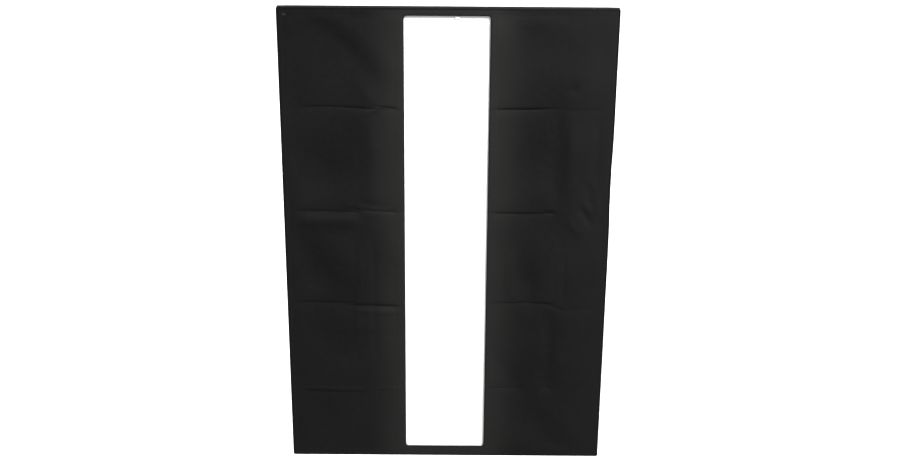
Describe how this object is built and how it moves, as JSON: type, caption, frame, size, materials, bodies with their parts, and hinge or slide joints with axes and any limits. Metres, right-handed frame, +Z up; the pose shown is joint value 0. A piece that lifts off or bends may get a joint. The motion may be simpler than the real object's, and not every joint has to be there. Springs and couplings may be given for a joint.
{
  "type": "strip softbox",
  "caption": "Rectangular softbox whose lit front wears a black mask with a tall window, on a rotating speedring for a studio light.",
  "frame": {"origin": "centre of the insert face that seats on the light head", "axes": "+Y towards the light head along the optical axis, light leaves towards -Y, +Z up along the tall side, +X to the right seen from the front"},
  "size_m": [0.8, 0.4639, 1.2],
  "materials": {
    "mask_cloth": "matte",
    "shell_cloth": "matte",
    "shell_lining": "satin",
    "diffusion_cloth": "matte",
    "hook_tape": "matte",
    "webbing": "matte",
    "cast_ring": "satin",
    "plated_steel": "satin",
    "rod_fibre": "satin",
    "black_plastic": "matte",
    "pad_brass": "satin"
  },
  "bodies": {
    "insert": {"bayonet_insert": "cast_ring"},
    "frame": {"speedring": "cast_ring", "retaining_ring": "cast_ring", "retaining_screw_1": "plated_steel", "retaining_screw_2": "plated_steel", "retaining_screw_3": "plated_steel", "retaining_screw_4": "plated_steel", "rod_socket_1": "plated_steel", "rod_socket_2": "plated_steel", "rod_socket_3": "plated_steel", "rod_socket_4": "plated_steel", "rod_1": "rod_fibre", "rod_2": "rod_fibre", "rod_3": "rod_fibre", "rod_4": "rod_fibre", "rod_tip_1": "black_plastic", "rod_tip_2": "black_plastic", "rod_tip_3": "black_plastic", "rod_tip_4": "black_plastic", "corner_pocket_1": "webbing", "corner_pocket_2": "webbing", "corner_pocket_3": "webbing", "corner_pocket_4": "webbing", "baffle_tab_1": "webbing", "baffle_tab_2": "webbing", "baffle_tab_3": "webbing", "baffle_tab_4": "webbing", "shell_top": "shell_cloth", "shell_right": "shell_cloth", "shell_bottom": "shell_cloth", "shell_left": "shell_cloth", "front_lip": "shell_cloth", "lip_loop_tape": "hook_tape"},
    "baffle_layer": {"inner_baffle": "diffusion_cloth", "baffle_strap_1": "webbing", "baffle_strap_2": "webbing", "baffle_strap_3": "webbing", "baffle_strap_4": "webbing", "baffle_snap_1": "plated_steel", "baffle_snap_2": "plated_steel", "baffle_snap_3": "plated_steel", "baffle_snap_4": "plated_steel"},
    "diffuser_layer": {"front_diffuser": "diffusion_cloth", "diffuser_hook_tape": "hook_tape"},
    "mask_layer": {"strip_mask": "mask_cloth", "mask_hook_tape": "hook_tape", "window_hem": "mask_cloth", "pull_tab": "diffusion_cloth"},
    "pad": {"lock_pad": "pad_brass"},
    "knob": {"lock_knob": "black_plastic", "lock_screw": "plated_steel"},
    "flap_top": {"rear_flap_top": "shell_cloth"},
    "flap_right": {"rear_flap_right": "shell_cloth"},
    "flap_bottom": {"rear_flap_bottom": "shell_cloth"},
    "flap_left": {"rear_flap_left": "shell_cloth"}
  },
  "joints": [
    {"name": "ring_rotation", "type": "hinge", "parent": "insert", "child": "frame", "pos_m": [0, 0, 0], "axis": [0, 1, 0], "continuous": true},
    {"name": "baffle_removal", "type": "slide", "parent": "frame", "child": "baffle_layer", "axis": [0, -1, 0], "range_m": [0, 0.45]},
    {"name": "diffuser_removal", "type": "slide", "parent": "baffle_layer", "child": "diffuser_layer", "axis": [0, -1, 0], "range_m": [0, 0.3]},
    {"name": "mask_removal", "type": "slide", "parent": "diffuser_layer", "child": "mask_layer", "axis": [0, -1, 0], "range_m": [0, 0.3]},
    {"name": "pad_travel", "type": "slide", "parent": "frame", "child": "pad", "axis": [1, 0, 0], "range_m": [0, 0.0025]},
    {"name": "knob_turn", "type": "hinge", "parent": "pad", "child": "knob", "pos_m": [0.1, -0.0125, 0], "axis": [1, 0, 0], "range_deg": [0, 720.5]},
    {"name": "flap_top_hinge", "type": "hinge", "parent": "frame", "child": "flap_top", "pos_m": [0, -0.022, 0.106], "axis": [1, 0, 0], "range_deg": [0, 110]},
    {"name": "flap_right_hinge", "type": "hinge", "parent": "frame", "child": "flap_right", "pos_m": [0.106, -0.022, 0], "axis": [0, 0, -1], "range_deg": [0, 110]},
    {"name": "flap_bottom_hinge", "type": "hinge", "parent": "frame", "child": "flap_bottom", "pos_m": [0, -0.022, -0.106], "axis": [-1, 0, 0], "range_deg": [0, 110]},
    {"name": "flap_left_hinge", "type": "hinge", "parent": "frame", "child": "flap_left", "pos_m": [-0.106, -0.022, 0], "axis": [0, 0, 1], "range_deg": [0, 110]}
  ],
  "couplings": [
    {"joint": "knob_turn", "follows": "pad_travel", "rad_per_m": 5026.5}
  ]
}
